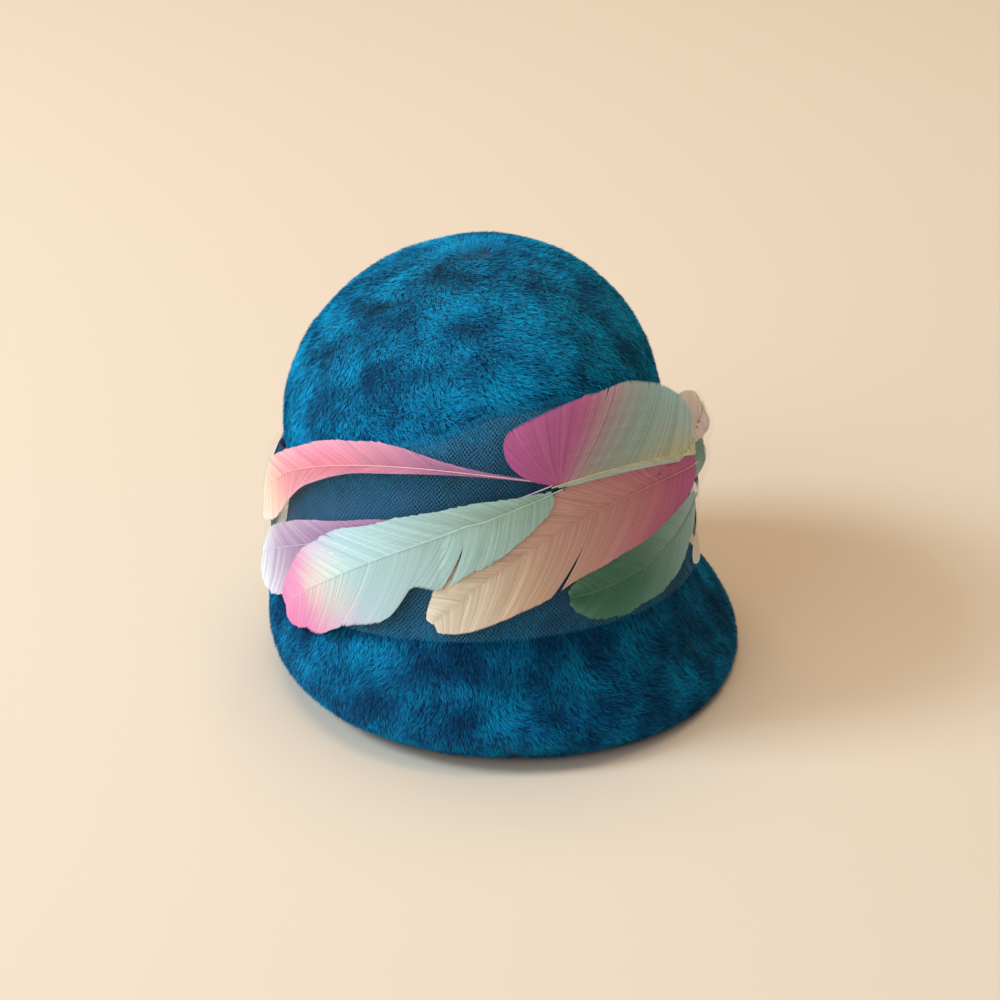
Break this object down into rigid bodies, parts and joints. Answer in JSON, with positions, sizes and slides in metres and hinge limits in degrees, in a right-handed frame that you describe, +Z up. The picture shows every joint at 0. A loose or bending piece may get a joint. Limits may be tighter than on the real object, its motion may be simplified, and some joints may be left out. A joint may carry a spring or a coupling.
{
  "type": "cloche hat",
  "caption": "Teal fur felt cloche hat with a rounded crown, a turned-down brim, and a wrapped tulle band holding a bunch of dyed feathers.",
  "frame": {"origin": "centre of the hat's footprint on the surface that it stands on", "axes": "+Z up through the crown, -Y towards the front of the hat, +X towards the wearer's left"},
  "size_m": [0.2192, 0.25, 0.1855],
  "materials": {
    "fur_felt": "fur felt with a short brushed nap of 4 to 6 mm, lighter where the nap turns to the light",
    "tulle": "fine matt tulle net",
    "feather_rose_dye": "dyed feather, rose pink to magenta, fading to cream and grey-green, soft sheen",
    "feather_coral_dye": "dyed feather, magenta to coral, peach and cream, soft sheen",
    "feather_lilac_dye": "dyed feather, lilac to pale blue-white, soft sheen",
    "feather_aqua_dye": "dyed feather, pale aqua with a pink tip, soft sheen",
    "feather_green_dye": "dyed feather, deep green to grey blue-green, soft sheen",
    "feather_pale_dye": "dyed feather, cream, blush and blue-white, soft sheen"
  },
  "bodies": {
    "root": {"felt_body": "fur_felt", "tulle_band": "tulle", "feather_green": "feather_green_dye", "feather_dove": "feather_pale_dye", "feather_mist": "feather_pale_dye", "feather_lilac": "feather_lilac_dye", "feather_plum": "feather_lilac_dye", "feather_moss": "feather_green_dye", "feather_cream": "feather_pale_dye", "feather_rose": "feather_rose_dye", "feather_coral": "feather_coral_dye", "feather_dusk": "feather_rose_dye", "feather_blush": "feather_pale_dye", "feather_aqua": "feather_aqua_dye", "feather_slate": "feather_aqua_dye", "feather_fan": "feather_rose_dye"}
  },
  "joints": []
}
